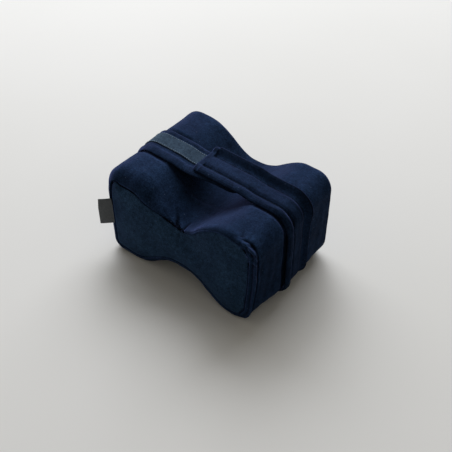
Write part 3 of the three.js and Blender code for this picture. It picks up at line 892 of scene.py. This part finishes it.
def strap_rings(along):
    """Points of the strap's outer and inner face, and distances out of the outer face's points."""
    pairs = zip(STRAP_FACE, STRAP_FACE[1:])
    fine = np.concatenate([np.linspace(a[0], b[0], FINE_STEPS)[:-1] for a, b in pairs])
    face_out = np.append(fine, STRAP_HALF_WIDTH)
    back_out, back_height = np.array(STRAP_BACK).T
    stitched = smooth(along, PLAIN_TO, STITCHED_FROM)
    stitched = stitched * (1 - smooth(along, STITCHED_TO, STITCHED_TO + STITCHES_FADE))
    tip, last = rounded(along / TIP_ROUND), rounded((STRAP_LENGTH - along) / LAST_ROUND)
    wide = STRAP_HALF_WIDTH - TIP_NARROWER * (1 - tip) - LAST_NARROWER * (1 - last)
    wide = wide / STRAP_HALF_WIDTH
    height = face_height(face_out[None, :], stitched[:, None])
    height = height * mix(TIP_THIN, 1, smooth(along, TIP_THIN_FROM, TIP_THIN_TO))[:, None]
    foot_height = HULL_TRACK.at(FLAP_START + along)[0][:, 1]
    off_floor = smooth(foot_height, FOOT_FACE_FROM, FOOT_FACE_TO)[:, None]
    height = mix(np.minimum(height, FOOT_FACE), height, off_floor)
    front = strap_points(along, face_out[None, :] * wide[:, None], height)
    back_heights = np.tile(back_height, (len(along), 1))
    back = strap_points(along, back_out[None, :] * wide[:, None], back_heights)
    return front, back, face_out


BEND_X, BEND_Z, STRAP_EDGE_WIDTH = (78, 100), (60, 110), 4
PLEAT, PLEAT_SIZE, PLEAT_SEED, PLEAT_STRETCH = 0.8, 6, 9, (0.14, 1.5, 0.14)


def strap_relief(front, face_out):
    """Heights of swells, and of pleats on the right bend, fading out at the strap's edges."""
    bent = smooth(front[..., 0], *BEND_X) * smooth(front[..., 2], *BEND_Z)
    pleats = PLEAT * bent * roughen(front * PLEAT_STRETCH, PLEAT_SIZE, PLEAT_SEED)
    inside = smooth(STRAP_HALF_WIDTH - np.abs(face_out), 0, STRAP_EDGE_WIDTH)[None, :]
    return (swells(front, STRAP_SWELLS) + pleats) * inside


along = np.concatenate([STRAP_TIP, np.arange(STRAP_FROM, STRAP_LENGTH, STRAP_STEP)])
front, back, face_out = strap_rings(along)
relief = strap_relief(front, face_out)
outward = strap_frame(along)[1]
front[..., 0] += outward[:, 0][:, None] * relief
front[..., 2] += outward[:, 1][:, None] * relief
strap_grid = np.concatenate([front, back], 1)[::-1, ::-1]
strap = skin("strap_band", strap_grid, STRAP_VELOUR, close=fan)
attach(strap, "root")
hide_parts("strap")


TAPE_FACE_POINTS, TAPE_BACK_POINTS, TAPE_EDGE_HEIGHT, TAPE_STEP = 25, 7, 0.5, 2.0


def tape_rings(along):
    """Rings of the tape: its edges, its outer face and its back."""
    half, base = TAPE_HALF_WIDTH, STRAP_FACE_HEIGHT + TAPE_GAP
    face = np.linspace(half - TAPE_EDGE, -half + TAPE_EDGE, TAPE_FACE_POINTS)
    under = np.linspace(-half + TAPE_EDGE, half - TAPE_EDGE, TAPE_BACK_POINTS)
    out = np.concatenate([[half], face, [-half], under]) + TAPE_ASIDE
    edge_height = [base + TAPE_EDGE_HEIGHT]
    face_heights = np.full(TAPE_FACE_POINTS, base + TAPE_THICKNESS)
    back_heights = np.full(TAPE_BACK_POINTS, base)
    height = np.concatenate([edge_height, face_heights, edge_height, back_heights])
    return strap_points(along, np.tile(out, (len(along), 1)), np.tile(height, (len(along), 1)))


tape_to = HULL_TRACK.length + TAPE_END - FLAP_END
tape_along = np.arange(tape_to - TAPE_LENGTH, tape_to, TAPE_STEP)
tape = skin("loop_tape", tape_rings(tape_along)[::-1], TAPE_LOOPS, close=fan)
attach(tape, "root")
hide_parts("fastening_tape")


# A stitch's rings, by their share of its length and their size, and how flat it is.
STITCH_RINGS = ((0.0, 0.35), (0.12, 0.9), (0.5, 1.0), (0.88, 0.9), (1.0, 0.35))
STITCH_SIDES, STITCH_FLATNESS = 6, 0.7
TAPE_STITCH_INSET, TAPE_STITCH_RADIUS = 1.2, 0.5
TAPE_STITCH = {"height": 3.85, "pitch": 3.4, "gap": 1.2}
STRAP_STITCH_ROWS, STRAP_STITCH_RADIUS = (-11.7, 12.7), 0.35
STRAP_STITCH = {"height": -0.1, "pitch": 3.2, "gap": 0.7}


def stitches(name, starts, ends, outward, radius, material):
    """Sewn stitches as small rounded bars between pairs of points."""
    points, faces = [], []
    sides = STITCH_SIDES
    for a, b, up in zip(starts, ends, outward):
        run = (b - a) / np.linalg.norm(b - a)
        across = np.cross(run, up)
        first = len(points)
        for share, size in STITCH_RINGS:
            middle = mix(a, b, share)
            for k in range(sides):
                turn = 2 * math.pi * k / sides
                flat = STITCH_FLATNESS * math.sin(turn) * up
                points.append(middle + radius * size * (math.cos(turn) * across + flat))
        for row in range(len(STITCH_RINGS) - 1):
            for k in range(sides):
                low, high = first + row * sides + k, first + row * sides + (k + 1) % sides
                faces.append([low, high, high + sides, low + sides])
        faces.append([first + k for k in range(sides)][::-1])
        faces.append([first + (len(STITCH_RINGS) - 1) * sides + k for k in range(sides)])
    made = new_object(name, points, faces, material)
    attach(made, "root")
    return made


def stitch_row(from_along, to_along, out, height, pitch, gap):
    """Ends and normals of the stitches of one row along the strap."""
    begin = np.arange(from_along, to_along - pitch, pitch)
    ends = []
    for along in (begin, begin + pitch - gap):
        outs, heights = (np.full((len(along), 1), value) for value in (out, height))
        ends.append(strap_points(along, outs, heights)[:, 0])
    _, outward, *_ = strap_frame(begin)
    return ends[0], ends[1], np.stack([outward[:, 0], 0 * outward[:, 0], outward[:, 1]], 1)


def joined(rows):
    """The starts, ends and normals of several rows of stitches together."""
    return [np.concatenate(parts) for parts in zip(*rows)]


tape_sewn_from = tape_to - TAPE_LENGTH + TAPE_STEP
tape_outs = [TAPE_ASIDE + way * (TAPE_HALF_WIDTH - TAPE_STITCH_INSET) for way in (-1, 1)]
tape_rows = joined(stitch_row(tape_sewn_from, tape_to, out, **TAPE_STITCH) for out in tape_outs)
stitches("tape_stitches", *tape_rows, TAPE_STITCH_RADIUS, TAPE_THREAD)

strap_rows = joined(
    stitch_row(STITCHED_FROM, STITCHED_TO, out, **STRAP_STITCH) for out in STRAP_STITCH_ROWS
)
stitches("strap_stitches", *strap_rows, STRAP_STITCH_RADIUS, NAVY_THREAD)


# The bare tab.

TAB_OUT, TAB_TOP, TAB_BOTTOM, TAB_THICKNESS, TAB_TURN = 19, 95, 50, 1.3, math.radians(43)
TAB_DROOP, TAB_BEND, TAB_GAP, TAB_SEWN_IN = 1.5, 1.6, 0.5, 1.0
TAB_ROWS, TAB_COLUMNS = 24, 18
TAB_THIN, TAB_THIN_EDGE, TAB_THIN_FROM = 0.9, 0.55, 0.85
TAB_RIPPLE, TAB_RIPPLE_TURN, TAB_RIPPLE_SHIFT = 0.35, 0.16, 2.2


def tab_rings():
    """Rings across the tab, from the seam outwards, bent a little and hanging a little."""
    ridge = edge_ring(-1, SEAM_ANGLE, further=RIDGE_WIDTH / 2, ridge=1)
    near = ridge[(ridge[:, 0] < 0) & (ridge[:, 2] > TAB_BOTTOM) & (ridge[:, 2] < TAB_TOP)]
    near = near[np.argsort(near[:, 2])]
    away = np.array([-math.cos(TAB_TURN), -math.sin(TAB_TURN), 0])
    across = np.array([away[1], -away[0], 0])
    rows = np.linspace(TAB_BOTTOM, TAB_TOP, TAB_ROWS)
    root = np.stack([np.interp(rows, near[:, 2], near[:, k]) for k in (0, 1)] + [0 * rows], 1)
    half = TAB_THICKNESS / 2
    rings = []
    for share in np.linspace(0, 1, TAB_COLUMNS):
        thin = half * mix(TAB_THIN, TAB_THIN_EDGE, smooth(share, TAB_THIN_FROM, 1.0))
        lean = TAB_BEND * share**2
        middle = root + away * mix(-TAB_SEWN_IN, TAB_GAP + TAB_OUT, share)
        middle[:, 2] = rows - TAB_DROOP * share
        wave = np.sin(rows * TAB_RIPPLE_TURN + TAB_RIPPLE_SHIFT * share)
        ripple = lean + TAB_RIPPLE * wave * share
        near_face = middle + across * (ripple - thin)[:, None]
        far_face = middle + across * (ripple + thin)[:, None]
        rings.append(np.concatenate([near_face, far_face[::-1]]))
    return np.array(rings)


tab = skin("bare_tab", tab_rings(), RIBBON, close=fan)
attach(tab, "root")
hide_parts("side_tab")


# Floor, lights and camera.


FLOOR_HALF = 4
WINDOW_COLOR = (0.985, 1.0, 1.03)
SKY_COLOR, SKY_STRENGTH = (1.0, 0.94, 0.82), 0.21


def floor():
    half = FLOOR_HALF
    corners = [(-half, -half, 0), (half, -half, 0), (half, half, 0), (-half, half, 0)]
    mesh = bpy.data.meshes.new("floor")
    mesh.from_pydata(corners, [], [[0, 1, 2, 3]])
    made = bpy.data.objects.new("floor", mesh)
    bpy.context.scene.collection.objects.link(made)
    mesh.materials.append(paper("pale_paper"))


def window_light(name, place, size, power):
    """A round light of the window's colour that faces the pillow's foot."""
    data = bpy.data.lights.new(name, "AREA")
    data.shape = "DISK"
    data.size = size
    data.energy = power
    data.color = WINDOW_COLOR
    made = bpy.data.objects.new(name, data)
    bpy.context.scene.collection.objects.link(made)
    made.location = place
    made.rotation_euler = (-Vector(place)).to_track_quat("-Z", "Y").to_euler()


AZIMUTH, ELEVATION, CAMERA_ROLL = (math.radians(angle) for angle in (37.39, 44.84, 0.71))
FOCAL_PIXELS, IMAGE_PIXELS, SENSOR = 920.7, 452, 36.0
AIM_PIXEL, AIM_DISTANCE, AIM_HEIGHT = (220.86, 212.27), 1.3049, 76
AIM = Vector(to_row([0, 0, AIM_HEIGHT])[0])


def camera():
    """The camera of the photograph: it sees AIM at AIM_PIXEL."""
    ahead = Vector(
        (
            -math.sin(AZIMUTH) * math.cos(ELEVATION),
            math.cos(AZIMUTH) * math.cos(ELEVATION),
            -math.sin(ELEVATION),
        )
    )
    level = Vector((math.cos(AZIMUTH), math.sin(AZIMUTH), 0))
    upright = level.cross(ahead)
    right = level * math.cos(CAMERA_ROLL) + upright * math.sin(CAMERA_ROLL)
    up = upright * math.cos(CAMERA_ROLL) - level * math.sin(CAMERA_ROLL)
    aside, below = (pixel - IMAGE_PIXELS / 2 for pixel in AIM_PIXEL)
    ray = ahead + right * aside / FOCAL_PIXELS - up * below / FOCAL_PIXELS
    data = bpy.data.cameras.new("camera")
    data.sensor_width = SENSOR
    data.lens = FOCAL_PIXELS * SENSOR / IMAGE_PIXELS
    made = bpy.data.objects.new("camera", data)
    bpy.context.scene.collection.objects.link(made)
    turn = Matrix((right, up, -ahead)).transposed().to_4x4()
    made.matrix_world = Matrix.Translation(AIM - ray * AIM_DISTANCE) @ turn
    bpy.context.scene.camera = made


def sky(color, strength):
    world = bpy.data.worlds.new("studio")
    bpy.context.scene.world = world
    world.use_nodes = True
    background = world.node_tree.nodes["Background"]
    background.inputs["Color"].default_value = (*color, 1)
    background.inputs["Strength"].default_value = strength


floor()
camera()
sky(SKY_COLOR, SKY_STRENGTH)
window_light("window", (-1.05, 2.4, 2.45), size=3.3, power=79)
window_light("side_window", (-2.0, 1.25, 1.9), size=2.6, power=47)
bpy.context.scene.view_settings.view_transform = "Standard"
